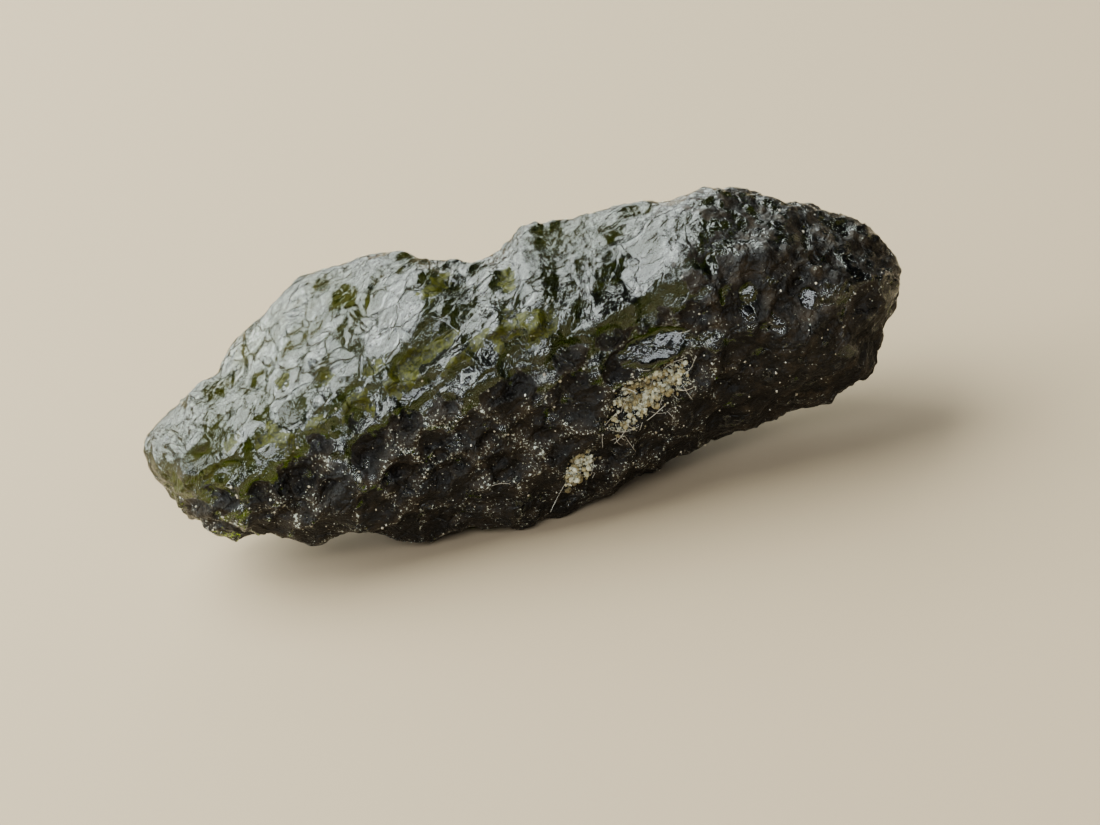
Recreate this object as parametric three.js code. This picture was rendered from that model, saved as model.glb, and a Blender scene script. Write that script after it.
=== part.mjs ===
// A moldavite: one piece of olive-green natural glass, 39 mm long, etched all over into shallow cups.
// Units are millimetres and +Z is up. The stone lies on a small worn face at the origin.
// X runs along the stone, from its tapering end (-X) to its blunt end (+X). The broad face looks to -Y and up.
import * as THREE from "three";
import { mergeVertices } from "three/addons/utils/BufferGeometryUtils.js";

// Driving dimensions of the whole stone.
const LEAN = THREE.MathUtils.degToRad(25); // the broad face leans back by this much
const CORE_HALF = 12.9; // half length of the straight line that the body is measured from
const CORE_HEIGHT = -0.35; // that line, above the line through the two tips
const END_RADIUS = 6.6; // nominal radius of the round ends
const FRONT_DEPTH = 6.9; // from the core line to the middle of the broad face
const BACK_DEPTH = 6.6; // from the core line to the middle of the back
const END_DEPTH_SHARE = 0.8; // how much of that depth is left at the tapering end
const ROUNDNESS = 2.2; // of a section: 2 is an ellipse, more is squarer, less is flatter between its ridges
const UPPER_ROUNDNESS = 1.45; // the same above the broad face's ridge, where that face is nearly flat
const TWIST = -0.3; // how far the outline's dips drift along the stone, for each mm towards the broad face
const SPARE = 0.06; // glass outside the outline that the cups take away
const REST_TRIM = 0.6; // thickness worn away where the stone rests

// The outline seen square to the broad face, clockwise from the tapering tip, as [along, above] points.
const OUTLINE = [
  [-19.45, 0.0], [-18.3, 1.35], [-17.3, 2.25], [-15.5, 3.2], [-13.6, 4.8], [-12.4, 5.75], [-11.1, 6.3],
  [-9.6, 6.65], [-7.6, 6.8], [-6.4, 7.15], [-4.9, 7.15], [-4.0, 6.35], [-2.4, 6.05], [-0.9, 5.8],
  [0.3, 6.25], [1.0, 6.75], [2.8, 6.75], [4.9, 7.05], [7.3, 7.0], [9.6, 6.8], [11.7, 6.5], [13.05, 6.05],
  [15.2, 5.15], [17.3, 4.15], [18.7, 3.0], [19.5, 1.5], [19.65, 0.2], [19.1, -1.15], [18.05, -2.65],
  [17.0, -4.2], [13.5, -4.9], [10.2, -5.65], [7.8, -6.1], [5.1, -6.55], [2.3, -7.2], [-0.9, -7.8],
  [-3.6, -7.65], [-7.3, -7.05], [-11.0, -6.3], [-14.5, -5.45], [-17.6, -4.5], [-18.6, -3.2], [-19.1, -1.5],
];

// The long blunt ridge where the two planes of the broad face meet, as [along, above the core line] points.
const RIDGE = [
  [-17.0, -1.5], [-12.0, -0.7], [-8.0, 0.3], [-4.0, 1.9], [-0.5, 2.3], [3.0, 1.6], [9.5, 2.9], [14.0, 1.8],
];

// Cups and hollows of the broad face: [along, above, half length, half width, heading in degrees, depth].
const HOLLOWS = [
  [-2.5, 4.3, 2.3, 1.5, -10, 0.6], // saddle below the dip of the crest
  [6.9, 3.6, 2.6, 1.8, 35, 0.55], // large bright facet
  [7.4, -0.7, 2.6, 1.1, 30, 0.5], // facet over the sand pocket
  [6.2, -2.7, 2.0, 1.25, 25, 0.75], // sand pocket
  [2.5, -5.6, 1.7, 1.1, 20, 0.5], // lower sand pocket
  [3.4, 0.9, 3.6, 0.9, 32, 0.5], // long furrow under the bright facet
  [-7.5, 4.6, 2.0, 1.5, 20, 0.35],
  [-10.7, 3.4, 2.1, 1.3, 40, 0.35],
  [-14.0, 1.6, 2.2, 1.3, 45, 0.35],
  [-9.6, 1.2, 1.7, 1.2, 30, 0.35],
  [-5.6, 1.6, 1.9, 1.1, 30, 0.4],
  [-16.0, -2.4, 1.7, 1.2, 40, 0.5],
  [-12.8, -1.9, 1.6, 1.1, 20, 0.45],
  [-5.0, -3.6, 1.5, 1.2, 70, 0.5],
  [-2.3, -3.3, 1.5, 1.2, 60, 0.5],
  [0.4, -3.7, 1.5, 1.2, 60, 0.5],
  [-3.4, -6.0, 1.7, 1.0, 20, 0.45],
  [12.1, 1.0, 2.2, 1.3, -20, 0.4],
  [11.2, -2.4, 2.2, 0.9, 55, 0.4],
  [15.4, -1.6, 2.2, 1.0, 60, 0.35],
  [16.4, 2.0, 2.0, 1.3, -40, 0.3],
];

// Ribs that stand between the hollows: height, half width and the [along, above] points that each follows.
const RIBS = [
  { height: 0.45, halfWidth: 0.8, points: [[0.7, 6.0], [1.5, 4.0], [0.9, 1.8], [1.2, 0.2]] },
  { height: 0.4, halfWidth: 0.7, points: [[10.6, 4.2], [8.2, 1.9], [4.6, 1.7], [1.6, -0.6]] },
  { height: 0.4, halfWidth: 0.7, points: [[9.9, 1.8], [9.2, -0.6], [8.8, -2.3], [6.9, -4.3]] },
  { height: 0.3, halfWidth: 0.6, points: [[11.0, 3.1], [14.6, 2.4], [16.8, 0.4]] },
  { height: 0.3, halfWidth: 0.7, points: [[-16.3, 2.6], [-16.2, 0.2], [-17.4, -1.7]] },
];

// Etched cups over the whole stone, set out along a golden-angle spiral.
const CUPS = 170;
const CUP_LENGTH = [1.7, 2.9]; // least and most half length
const CUP_SLENDERNESS = [0.6, 0.85]; // half width over half length
const CUP_DEPTH = [0.35, 0.7];
const CUP_RIM = 1.5; // 1 leaves a sharp rim round a cup; more rounds it over
const CUP_MEETING = 5; // how sharply the deepest of several overlapping cups wins
const CUP_WARP = 0.4; // how far an edge of a cup wanders from its oval
const CUP_HEADING = [24, 55]; // degrees from the axis, at the tapering and the blunt end
const GOLDEN_ANGLE = Math.PI * (3 - Math.sqrt(5));

// Mesh density: strips along the body and cells across each of its four sides.
const STRIPS = 58;
const CELLS = 18;

const UP = new THREE.Vector3(0, Math.sin(LEAN), Math.cos(LEAN)); // "above" in the leaning frame
const OUT = new THREE.Vector3(0, -Math.cos(LEAN), Math.sin(LEAN)); // out of the broad face

const mix = (range, share) => range[0] + (range[1] - range[0]) * share;

// A repeatable number from 0 to 1 for a whole number and a channel.
function chance(n, channel) {
  const wave = Math.sin(n * 12.9898 + channel * 78.233) * 43758.5453;
  return wave - Math.floor(wave);
}

// How far round the outline a direction lies: along the top, round the blunt end, back below, round the other end.
const QUARTER = (END_RADIUS * Math.PI) / 2;
const LAP = 4 * CORE_HALF + 4 * QUARTER;
function lapPosition(station, along, above) {
  const angle = Math.atan2(above, along);
  if (station >= CORE_HALF && along > 0) return 2 * CORE_HALF + (Math.PI / 2 - angle) * END_RADIUS;
  if (station <= -CORE_HALF && along < 0) {
    const turned = angle > 0 ? angle - Math.PI / 2 : angle + 1.5 * Math.PI;
    return (LAP - turned * END_RADIUS) % LAP;
  }
  return above >= 0 ? station + CORE_HALF : 2 * CORE_HALF + 2 * QUARTER + (CORE_HALF - station);
}

// The outline's distance from the core line as knots round the lap, joined by a smooth closed curve.
const KNOTS = OUTLINE.map(([along, above]) => {
  const station = THREE.MathUtils.clamp(along, -CORE_HALF, CORE_HALF);
  const [dx, dh] = [along - station, above - CORE_HEIGHT];
  return { lap: lapPosition(station, dx, dh), reach: Math.hypot(dx, dh) };
}).sort((a, b) => a.lap - b.lap);

function outlineReach(lap) {
  const count = KNOTS.length;
  const knot = (i) => {
    const turn = Math.floor(i / count);
    const { lap: at, reach } = KNOTS[i - turn * count];
    return { lap: at + turn * LAP, reach };
  };
  let i = 0;
  while (i < count && KNOTS[i].lap <= lap) i++;
  const [before, from, to, after] = [knot(i - 2), knot(i - 1), knot(i), knot(i + 1)];
  const span = to.lap - from.lap;
  const t = (lap - from.lap) / span;
  const leave = ((to.reach - before.reach) / (to.lap - before.lap)) * span;
  const arrive = ((after.reach - from.reach) / (after.lap - from.lap)) * span;
  const [t2, t3] = [t * t, t * t * t];
  return (
    (2 * t3 - 3 * t2 + 1) * from.reach + (t3 - 2 * t2 + t) * leave +
    (3 * t2 - 2 * t3) * to.reach + (t3 - t2) * arrive
  );
}

// Height of the broad face's ridge at a station, eased from point to point.
function ridgeHeight(station) {
  const next = Math.max(1, RIDGE.findIndex(([along]) => along > station));
  const [[from, low], [to, high]] = [RIDGE[next - 1], RIDGE[next]];
  return mix([low, high], THREE.MathUtils.smoothstep(station, from, to));
}

// Depth of the body before or behind the core line: it thins towards the tapering end.
function depthReach(station, side) {
  const share = THREE.MathUtils.smoothstep(station, -CORE_HALF, 0);
  return (side > 0 ? FRONT_DEPTH : BACK_DEPTH) * mix([END_DEPTH_SHARE, 1], share);
}

// A point of the smooth body: the core station and a unit direction (along, above, out) give its distance.
function bodyReach(station, direction) {
  const depth = depthReach(station, direction.z);
  const outwards = Math.max(direction.z, 0);
  const above = direction.y - (ridgeHeight(station) * outwards) / depth;
  const flat = Math.hypot(direction.x, above);
  if (flat < 1e-6) return depth + SPARE;
  const lap = lapPosition(station, direction.x, above) + TWIST * direction.z * depth;
  const outline = outlineReach((lap + LAP) % LAP);
  const upper = THREE.MathUtils.smoothstep(above / flat, -0.2, 0.4) * THREE.MathUtils.smoothstep(outwards, 0, 0.3);
  const roundness = mix([ROUNDNESS, UPPER_ROUNDNESS], upper);
  const sum = (flat / outline) ** roundness + (Math.abs(direction.z) / depth) ** roundness;
  return sum ** (-1 / roundness) + SPARE;
}

// A point in the leaning frame: x along, y above the core line, z out of the broad face.
function bodyPoint(station, direction) {
  return direction.clone().multiplyScalar(bodyReach(station, direction)).add(new THREE.Vector3(station, 0, 0));
}

// The point of the broad face that is seen at a place inside its outline, found by halving the angle it is seen at.
function facePoint(along, above) {
  const station = THREE.MathUtils.clamp(along, -CORE_HALF, CORE_HALF);
  const [dx, dy] = [along - station, above - CORE_HEIGHT];
  const wanted = Math.hypot(dx, dy);
  const towards = (angle) =>
    new THREE.Vector3((dx / wanted) * Math.cos(angle), (dy / wanted) * Math.cos(angle), Math.sin(angle));
  let [low, high] = [0, Math.PI / 2];
  for (let halving = 0; halving < 24; halving++) {
    const angle = (low + high) / 2;
    if (bodyReach(station, towards(angle)) * Math.cos(angle) > wanted) low = angle;
    else high = angle;
  }
  return bodyPoint(station, towards(low));
}

// A cup is an oval scoop: its centre, its long direction along the surface, half length, half width and depth.
function faceCup([along, above, length, width, heading, depth]) {
  const angle = THREE.MathUtils.degToRad(heading);
  const step = 0.3;
  const centre = facePoint(along, above);
  const ahead = facePoint(along + step * Math.cos(angle), above + step * Math.sin(angle));
  return { centre, heading: ahead.sub(centre).normalize(), length, width, depth };
}

function spiralCup(n) {
  const share = (n + 0.5) / CUPS;
  const along = (2 * share - 1) * (CORE_HALF + END_RADIUS);
  const station = THREE.MathUtils.clamp(along, -CORE_HALF, CORE_HALF);
  const tip = THREE.MathUtils.clamp((along - station) / END_RADIUS, -1, 1);
  const angle = n * GOLDEN_ANGLE + 0.9 * chance(n, 1);
  const ring = Math.sqrt(1 - tip * tip);
  const direction = new THREE.Vector3(tip, ring * Math.sin(angle), ring * Math.cos(angle));
  const slant = THREE.MathUtils.degToRad(mix(CUP_HEADING, share) + 30 * (chance(n, 2) - 0.5));
  const round = new THREE.Vector3(0, Math.cos(angle), -Math.sin(angle)).multiplyScalar(Math.sin(slant));
  const length = mix(CUP_LENGTH, chance(n, 3));
  return {
    centre: bodyPoint(station, direction),
    heading: new THREE.Vector3(Math.cos(slant), 0, 0).add(round).normalize(),
    length,
    width: length * mix(CUP_SLENDERNESS, chance(n, 4)),
    depth: mix(CUP_DEPTH, chance(n, 5)),
  };
}

const cups = [...HOLLOWS.map(faceCup), ...Array.from({ length: CUPS }, (_, n) => spiralCup(n))];

// Depth carved at a point by all the cups that reach it.
function cupDepth(point) {
  let sum = 0;
  for (const cup of cups) {
    const away = point.clone().sub(cup.centre);
    const forward = away.dot(cup.heading);
    const sideways = away.lengthSq() - forward * forward;
    const share = (forward / cup.length) ** 2 + sideways / cup.width ** 2;
    if (share < 1) sum += (cup.depth * (1 - share) ** CUP_RIM) ** CUP_MEETING;
  }
  return sum ** (1 / CUP_MEETING);
}

const ribLines = RIBS.map(({ height, halfWidth, points }) => {
  const curve = new THREE.CatmullRomCurve3(points.map(([along, above]) => facePoint(along, above)));
  return { height, halfWidth, line: curve.getSpacedPoints(24) };
});

function ribHeight(point) {
  let total = 0;
  for (const { height, halfWidth, line } of ribLines) {
    const nearest = Math.min(...line.map((p) => p.distanceTo(point)));
    total = Math.max(total, height * Math.exp(-((nearest / halfWidth) ** 2)));
  }
  return total;
}

// Edges of the cups wander: a point is looked up a little to the side of where it is.
function warped(p) {
  const drift = new THREE.Vector3(
    Math.sin(1.3 * p.y + 0.7 * p.z),
    Math.sin(1.2 * p.z + 0.8 * p.x),
    Math.sin(1.1 * p.x + 0.9 * p.y),
  );
  return p.clone().addScaledVector(drift, CUP_WARP);
}

// Slow swellings of the glass, so that no side is a plain curve.
function swelling(p) {
  return 0.16 * Math.sin(0.55 * p.x + 0.4 * p.z) + 0.14 * Math.sin(0.8 * p.y - 0.35 * p.x + 1.3 * Math.sin(0.3 * p.z));
}

// A block's surface is drawn out into a round-ended bar, then to the body's own reach, and carved.
function stoneGeometry() {
  const wrap = (END_RADIUS * Math.PI) / 4; // how much of the block's length turns round each end
  const block = new THREE.BoxGeometry(2 * (CORE_HALF + wrap), 2, 2, STRIPS, CELLS, CELLS);
  block.deleteAttribute("normal");
  block.deleteAttribute("uv");
  const geometry = mergeVertices(block);
  const position = geometry.attributes.position;
  const bend = (share) => Math.tan((share * Math.PI) / 4);
  for (let i = 0; i < position.count; i++) {
    const x = position.getX(i);
    const station = THREE.MathUtils.clamp(x, -CORE_HALF, CORE_HALF);
    const turned = bend((x - station) / wrap);
    const direction = new THREE.Vector3(turned, bend(position.getY(i)), bend(position.getZ(i))).normalize();
    const smooth = bodyPoint(station, direction);
    const change = ribHeight(smooth) + swelling(smooth) - cupDepth(warped(smooth));
    const point = smooth.addScaledVector(direction, change);
    const placed = new THREE.Vector3(point.x, 0, 0);
    placed.addScaledVector(UP, point.y + CORE_HEIGHT).addScaledVector(OUT, point.z);
    position.setXYZ(i, placed.x, placed.y, placed.z);
  }
  return geometry;
}

// A cell's two triangles meet along the diagonal that bends the surface less, so that rims stay clean lines.
function settleDiagonals(geometry) {
  const { index } = geometry;
  const corner = (i) => new THREE.Vector3().fromBufferAttribute(geometry.attributes.position, i);
  const normal = (...corners) => new THREE.Triangle(...corners.map(corner)).getNormal(new THREE.Vector3());
  for (let i = 0; i < index.count; i += 6) {
    const [a, b, d, , c] = index.array.slice(i, i + 6);
    const asBuilt = normal(a, b, d).dot(normal(b, c, d));
    const crossed = normal(a, b, c).dot(normal(a, c, d));
    if (crossed > asBuilt) index.array.set([a, b, c, a, c, d], i);
  }
  return geometry;
}

// Wears a flat face where the stone rests, and stands that face on the origin's plane.
function rest(geometry) {
  geometry.computeBoundingBox();
  const floor = geometry.boundingBox.min.z + REST_TRIM;
  const position = geometry.attributes.position;
  for (let i = 0; i < position.count; i++) position.setZ(i, Math.max(position.getZ(i), floor));
  geometry.computeBoundingBox();
  const { min, max } = geometry.boundingBox;
  geometry.translate(-(min.x + max.x) / 2, -(min.y + max.y) / 2, -min.z);
  return geometry;
}

const glass = new THREE.MeshStandardMaterial({ color: 0x14180c, roughness: 0.22, metalness: 0 });
const stone = new THREE.Mesh(settleDiagonals(rest(stoneGeometry())), glass);
stone.name = "moldavite";

const part = new THREE.Group();
part.add(stone);
export default part;
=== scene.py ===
"""Moldavite: a piece of natural olive-green glass, etched into scallops, with sand left in its pockets."""

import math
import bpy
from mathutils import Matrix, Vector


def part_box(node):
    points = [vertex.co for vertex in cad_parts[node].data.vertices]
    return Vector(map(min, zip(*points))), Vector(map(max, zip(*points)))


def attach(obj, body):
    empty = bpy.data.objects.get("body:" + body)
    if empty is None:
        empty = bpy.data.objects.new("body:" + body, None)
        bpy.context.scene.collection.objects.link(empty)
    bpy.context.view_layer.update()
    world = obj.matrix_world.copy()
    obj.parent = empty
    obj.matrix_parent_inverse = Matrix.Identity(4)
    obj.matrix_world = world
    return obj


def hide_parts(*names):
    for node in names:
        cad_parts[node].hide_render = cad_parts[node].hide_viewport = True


bl_info = {
    "name": "Moldavite",
    "version": (1, 0, 0),
    "blender": (4, 5, 0),
    "location": "View3D > Sidebar > Moldavite",
    "description": "Builds an etched moldavite with its sand, dust and fibres, lying on a pale floor",
    "category": "Add Mesh",
}

from types import SimpleNamespace

import bmesh
import bpy
import numpy as np
from bpy.props import FloatProperty, FloatVectorProperty, IntProperty, PointerProperty
from mathutils import Matrix, Vector, bvhtree, kdtree, noise

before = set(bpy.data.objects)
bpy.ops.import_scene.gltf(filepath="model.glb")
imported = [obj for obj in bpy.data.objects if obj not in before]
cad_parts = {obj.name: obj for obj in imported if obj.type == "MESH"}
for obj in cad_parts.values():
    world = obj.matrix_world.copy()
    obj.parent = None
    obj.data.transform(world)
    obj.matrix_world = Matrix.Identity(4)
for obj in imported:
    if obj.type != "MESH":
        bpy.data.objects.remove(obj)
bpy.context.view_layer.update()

STONE = "moldavite"
MM = 0.001

# The stone's own axes: X along it, ABOVE up its broad face, OUT square to that face. It leans back by LEAN.
LEAN = math.radians(25)
ALONG = np.array((1.0, 0.0, 0.0))
ABOVE = np.array((0.0, math.sin(LEAN), math.cos(LEAN)))
OUT = np.array((0.0, -math.cos(LEAN), math.sin(LEAN)))
DIP = 0.75 * ABOVE - 0.66 * ALONG  # the side of each cup where its wall is steepest

LOW, HIGH = (np.array(corner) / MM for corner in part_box(STONE))  # the stone's box, in millimetres
CENTRE = (LOW + HIGH) / 2
HALF = (HIGH - LOW) / 2
CORE_HALF = HALF[0] - 0.92 * HALF[2]  # half length of the line that the surface is drawn out from


# --- Repeatable noise and simple shaping ----------------------------------------------------------


def smooth_step(low, high, value):
    share = np.clip((value - low) / (high - low), 0.0, 1.0)
    return share * share * (3.0 - 2.0 * share)


def wander(points, scale, seed):
    """Smooth noise from -1 to 1 at each point, with about `scale` swells a millimetre."""
    shift = Vector((11.3 * seed, -7.1 * seed, 3.7 * seed))
    return np.array([noise.noise(Vector(p) * scale + shift) for p in points])


def unit(vectors):
    return vectors / np.maximum(np.linalg.norm(vectors, axis=-1, keepdims=True), 1e-9)


def across_face(points):
    """Millimetres along and above, measured from the stone's centre, as the broad face shows them."""
    away = points - CENTRE
    return away @ ALONG, away @ ABOVE


# --- The stone's body -----------------------------------------------------------------------------


def divided_block(strips, cells):
    """A cube whose long sides have `strips` by `cells` faces and whose ends have `cells` by `cells`."""
    bm = bmesh.new()
    bmesh.ops.create_cube(bm, size=2.0)
    for axis, count in enumerate((strips, cells, cells)):
        edges = [e for e in bm.edges if abs((e.verts[0].co - e.verts[1].co)[axis]) > 1.0]
        bmesh.ops.subdivide_edges(bm, edges=edges, cuts=count - 1, use_grid_fill=True)
    return bm


def drawn_to_stone(bm, favour):
    """Draws the block out to the CAD stone's surface: each point follows its own ray from the core line."""
    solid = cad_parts[STONE]
    tree = bvhtree.BVHTree.FromObject(solid, bpy.context.evaluated_depsgraph_get())
    wrap = math.pi / 4 * HALF[2]
    for vertex in bm.verts:
        x = vertex.co.x * (CORE_HALF + wrap)
        station = max(-CORE_HALF, min(CORE_HALF, x))
        turned, side, top = (
            math.tan(share * math.pi / 4) for share in ((x - station) / wrap, vertex.co.y, vertex.co.z)
        )
        angle = math.atan2(top, side)
        spread = math.hypot(side, top)
        facing = angle - math.atan2(OUT[2], OUT[1])
        angle -= favour * math.sin(facing)
        direction = Vector((turned, spread * math.cos(angle), spread * math.sin(angle))).normalized()
        start = Vector((CENTRE[0] + station, CENTRE[1], CENTRE[2])) * MM
        hit = tree.ray_cast(start + direction * HALF[0] * MM * 2, -direction)[0]
        vertex.co = hit / MM


# --- Etched relief --------------------------------------------------------------------------------


def scattered(points, spacing, rng):
    """Indices of points that lie at least `spacing` apart, picked in random order with a coarse grid."""
    cells = {}
    chosen = []
    steps = [(a, b, c) for a in (-1, 0, 1) for b in (-1, 0, 1) for c in (-1, 0, 1)]
    for i in rng.permutation(len(points)):
        p = points[i]
        home = tuple(int(v) for v in p // spacing)
        near = (cells.get((home[0] + a, home[1] + b, home[2] + c)) for a, b, c in steps)
        if all(q is None or ((p - q) ** 2).sum() > spacing * spacing for q in near):
            cells[home] = p
            chosen.append(i)
    return np.array(chosen)


def tangents(normals):
    """Two directions in the surface: along the stone, and round it (up, on the broad face)."""
    first = unit(ALONG - normals * (normals @ ALONG)[:, None])
    return first, np.cross(normals, first)


def scallops(points, normals, spacing, stretch, depth, flatness, tilt, heading, seed, dip=0.0):
    """Shallow oval cups that meet in rims, each steepest towards DIP.

    Spacing, depth and tilt are in millimetres, and `stretch` is a cup's length over its breadth. Returns the
    height, and how far above its own cup the next cup's surface is, in depths: 0 on a rim.
    """
    rng = np.random.default_rng(seed)
    at = scattered(points, spacing * 0.8, rng)
    centres = points[at]
    along, around = tangents(normals[at])
    angle = heading(centres) + rng.normal(0.0, 0.3, len(at))
    long_way = along * np.cos(angle)[:, None] + around * np.sin(angle)[:, None]
    wide_way = np.cross(normals[at], long_way)
    size = 0.52 * spacing * rng.uniform(0.75, 1.25, len(at))  # a little over half, so that the cups overlap
    deep = depth * rng.uniform(0.6, 1.5, len(at))
    lean = rng.normal(0.0, tilt, (len(at), 2))
    tree = kdtree.KDTree(len(at))
    for i, centre in enumerate(centres):
        tree.insert(centre, i)
    tree.balance()
    near = np.array([[found[1] for found in tree.find_n(p, 8)] for p in points])
    away = points[:, None, :] - centres[near]
    u = (away * long_way[near]).sum(-1) / (size[near] * stretch)
    v = (away * wide_way[near]).sum(-1) / size[near]
    height = deep[near] * ((u * u + v * v) ** flatness - 1.0) + lean[near, 0] * u + lean[near, 1] * v
    height -= dip * away @ DIP
    height.partition(1, axis=1)
    lowest, second = height[:, 0], height[:, 1]
    cap = 0.1 * depth  # rounds the rims
    return -cap * np.logaddexp(0.0, 1.0 - lowest / cap), (second - lowest) / depth


# Ledges of the broad face, each a flat ramp that ends in a sharp edge: rise, breadth on the ramp's side,
# breadth on the other side, and the (along, above) points that the edge follows.
LEDGES = (
    (0.55, 2.2, 0.35, ((10.0, 2.7), (7.3, 1.9), (4.3, 1.2), (2.1, 0.6))),
    (0.26, 1.2, 0.4, ((1.7, 6.2), (1.9, 4.9), (1.9, 3.6), (1.5, 2.4), (1.2, 1.2))),
    (0.2, 0.8, 0.4, ((10.0, 3.4), (12.0, 3.0), (13.8, 2.5), (15.9, 1.1))),
    (0.25, 0.9, 0.6, ((-16.9, 3.0), (-16.4, 1.2), (-16.9, -0.8), (-18.2, -2.2))),
    (0.3, 0.9, 0.3, ((-5.5, 0.2), (-3.6, 0.9), (-2.2, 1.2))),
    (0.3, 0.8, 0.3, ((-9.5, -1.9), (-7.6, -1.3), (-6.2, -0.6))),
    (0.35, 0.9, 0.3, ((-15.8, -3.0), (-14.2, -2.3), (-12.4, -2.0))),
)

# The edge, as a row of `along` and one of `above`, below which the broad face gets a dark, dull film of
# painted shade, and dust.
DARK_EDGE = (
    (-18.0, -15.0, -12.0, -10.0, -7.0, -3.4, -0.7, 1.0, 3.0, 6.6, 9.0, 14.0),
    (-3.0, -2.5, -1.8, -1.0, -0.1, 0.4, 1.0, 1.2, 1.0, 1.4, 1.4, 1.4),
)

# Flat scars of the broad face: along, above, half length, half breadth, slant, the elevation and turn that
# each one faces, in degrees, and the most that it cuts or stands out.
SCARS = (
    (6.9, 3.6, 1.5, 1.15, 0.1, 62, -25, 0.35),
    (6.6, -0.75, 1.9, 0.8, 0.13, 34, -3, 1.0),
    (-2.8, 0.0, 0.6, 0.55, 0.5, 30, -5, 0.5),
    (-5.4, -0.4, 0.7, 0.5, 0.5, 30, -3, 0.5),
    (-11.4, 0.1, 1.1, 0.8, 0.3, 33, -10, 0.5),
    (-13.5, -1.7, 0.9, 0.5, 0.2, 30, -5, 0.5),
    (-15.5, -2.2, 0.9, 0.6, 0.3, 29, -8, 0.6),
    (-16.5, -1.3, 0.7, 0.6, 0.2, 32, -12, 0.5),
    (10.2, 2.8, 0.35, 0.6, 0.0, 40, -20, 0.4),
    (11.7, 1.0, 0.45, 0.5, 0.0, 34, -4, 0.5),
    (11.5, 0.1, 0.35, 0.5, 0.0, 34, 0, 0.5),
    (14.6, 0.1, 0.5, 0.55, 0.0, 31, 4, 0.5),
)

# A strip of clear glass in the dark part, left without the painted shade.
CLEAR_STRIP = ((0.6, 0.4), (3.0, 0.7), (6.3, 1.15))

# Frosted green hollows of the broad face: along, above, half length, half breadth and depth.
HOLLOWS = (
    (-3.4, 4.7, 0.95, 0.6, 0.18),
    (0.2, 4.2, 0.5, 0.8, 0.12),
    (-5.0, 1.3, 0.9, 0.45, 0.12),
    (-3.4, 2.0, 0.8, 0.45, 0.12),
    (-1.7, 1.6, 0.9, 0.45, 0.12),
    (0.7, 1.0, 0.7, 0.4, 0.1),
    (-7.2, 1.4, 0.7, 0.4, 0.1),
    (-9.6, 1.4, 0.5, 0.35, 0.1),
    (-11.8, 1.6, 0.6, 0.4, 0.1),
    (-13.3, -0.7, 0.6, 0.35, 0.1),
    (-15.0, -0.8, 0.5, 0.35, 0.1),
)

# Pockets of the broad face that hold sand, given the same way.
POCKETS = ((5.8, -2.95, 2.0, 1.0, 0.5), (1.8, -5.8, 1.0, 0.6, 0.3))


def distance_to_line(x, y, points):
    """Distance from each place to a line of points, its side, and how far along the line it is."""
    best = np.full(len(x), 1e9)
    side = np.zeros(len(x))
    share = np.zeros(len(x))
    for i, ((ax, ay), (bx, by)) in enumerate(zip(points, points[1:])):
        dx, dy = bx - ax, by - ay
        t = np.clip(((x - ax) * dx + (y - ay) * dy) / (dx * dx + dy * dy), 0.0, 1.0)
        away = np.hypot(x - ax - t * dx, y - ay - t * dy)
        closer = away < best
        best = np.where(closer, away, best)
        side = np.where(closer, np.sign((x - ax) * dy - (y - ay) * dx), side)
        share = np.where(closer, (i + t) / (len(points) - 1), share)
    return best, side, share


def ledge_relief(points, normals):
    """Height of the ledges: each rises along its ramp to its edge, and drops away sharply beyond it."""
    x, y = across_face(points)
    seen = smooth_step(0.0, 0.35, normals @ OUT)
    total = np.zeros(len(points))
    for rise, above, below, line in LEDGES:
        away, side, share = distance_to_line(x, y, line)
        ends = smooth_step(0.0, 0.12, share) * smooth_step(1.0, 0.88, share)
        ramp = np.clip(1.0 - away / above, 0.0, 1.0)
        total += rise * ends * np.where(side > 0, ramp, np.exp(-away / below))
    return total * seen


def scar_cuts(points, normals):
    """How far each place is from its scar's flat, along its normal, and its share in a scar."""
    x, y = across_face(points)
    front = normals @ OUT > 0.0
    share = np.zeros(len(points))
    cut = np.zeros(len(points))
    for along, above, length, breadth, slant, elevation, turn, most in SCARS:
        u, v = (x - along) / length, (y - above - slant * (x - along)) / breadth
        here = np.exp(-((u * u + v * v) ** 2.5)) * smooth_step(0.0, 0.3, normals @ OUT)
        middle = points[np.argmin(np.where(front, (x - along) ** 2 + (y - above) ** 2, 1e9))]
        tip, side = math.radians(elevation), math.radians(turn)
        facing = np.array((math.cos(tip) * math.sin(side), -math.cos(tip) * math.cos(side), math.sin(tip)))
        reach = (middle - points) @ facing / np.maximum(normals @ facing, 0.3)
        cut = np.where(here > share, np.clip(reach, -most, most), cut)
        share = np.maximum(share, here)
    return cut, share


def pocket_share(points, normals, pockets):
    """How much each place belongs to a pocket, and how deep the pocket is there."""
    x, y = across_face(points)
    seen = smooth_step(-0.2, 0.2, normals @ OUT)
    share = np.zeros(len(points))
    depth = np.zeros(len(points))
    for along, above, length, breadth, deep in pockets:
        slant = 0.38 * (x - along)
        here = np.exp(-(((x - along) / length) ** 2 + ((y - above - slant) / breadth) ** 2) ** 1.5) * seen
        share = np.maximum(share, here)
        depth += deep * here
    return share, depth


def flow_heading(points):
    """The cups' long way, from the stone's axis: low at the tapering end, steep at the blunt one."""
    return np.radians(np.interp(points[:, 0], (-16.0, 0.0, 14.0), (40.0, 38.0, 60.0)))


def crinkle_heading(points):
    return np.radians(np.interp(points[:, 0], (-16.0, -2.0, 3.0, 14.0), (35.0, 45.0, 105.0, 60.0)))


def between(low, high, soft, value):
    """1 from `low` to `high`, fading to 0 over `soft` on each side."""
    return smooth_step(low - soft, low + soft, value) * smooth_step(high + soft, high - soft, value)


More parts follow.
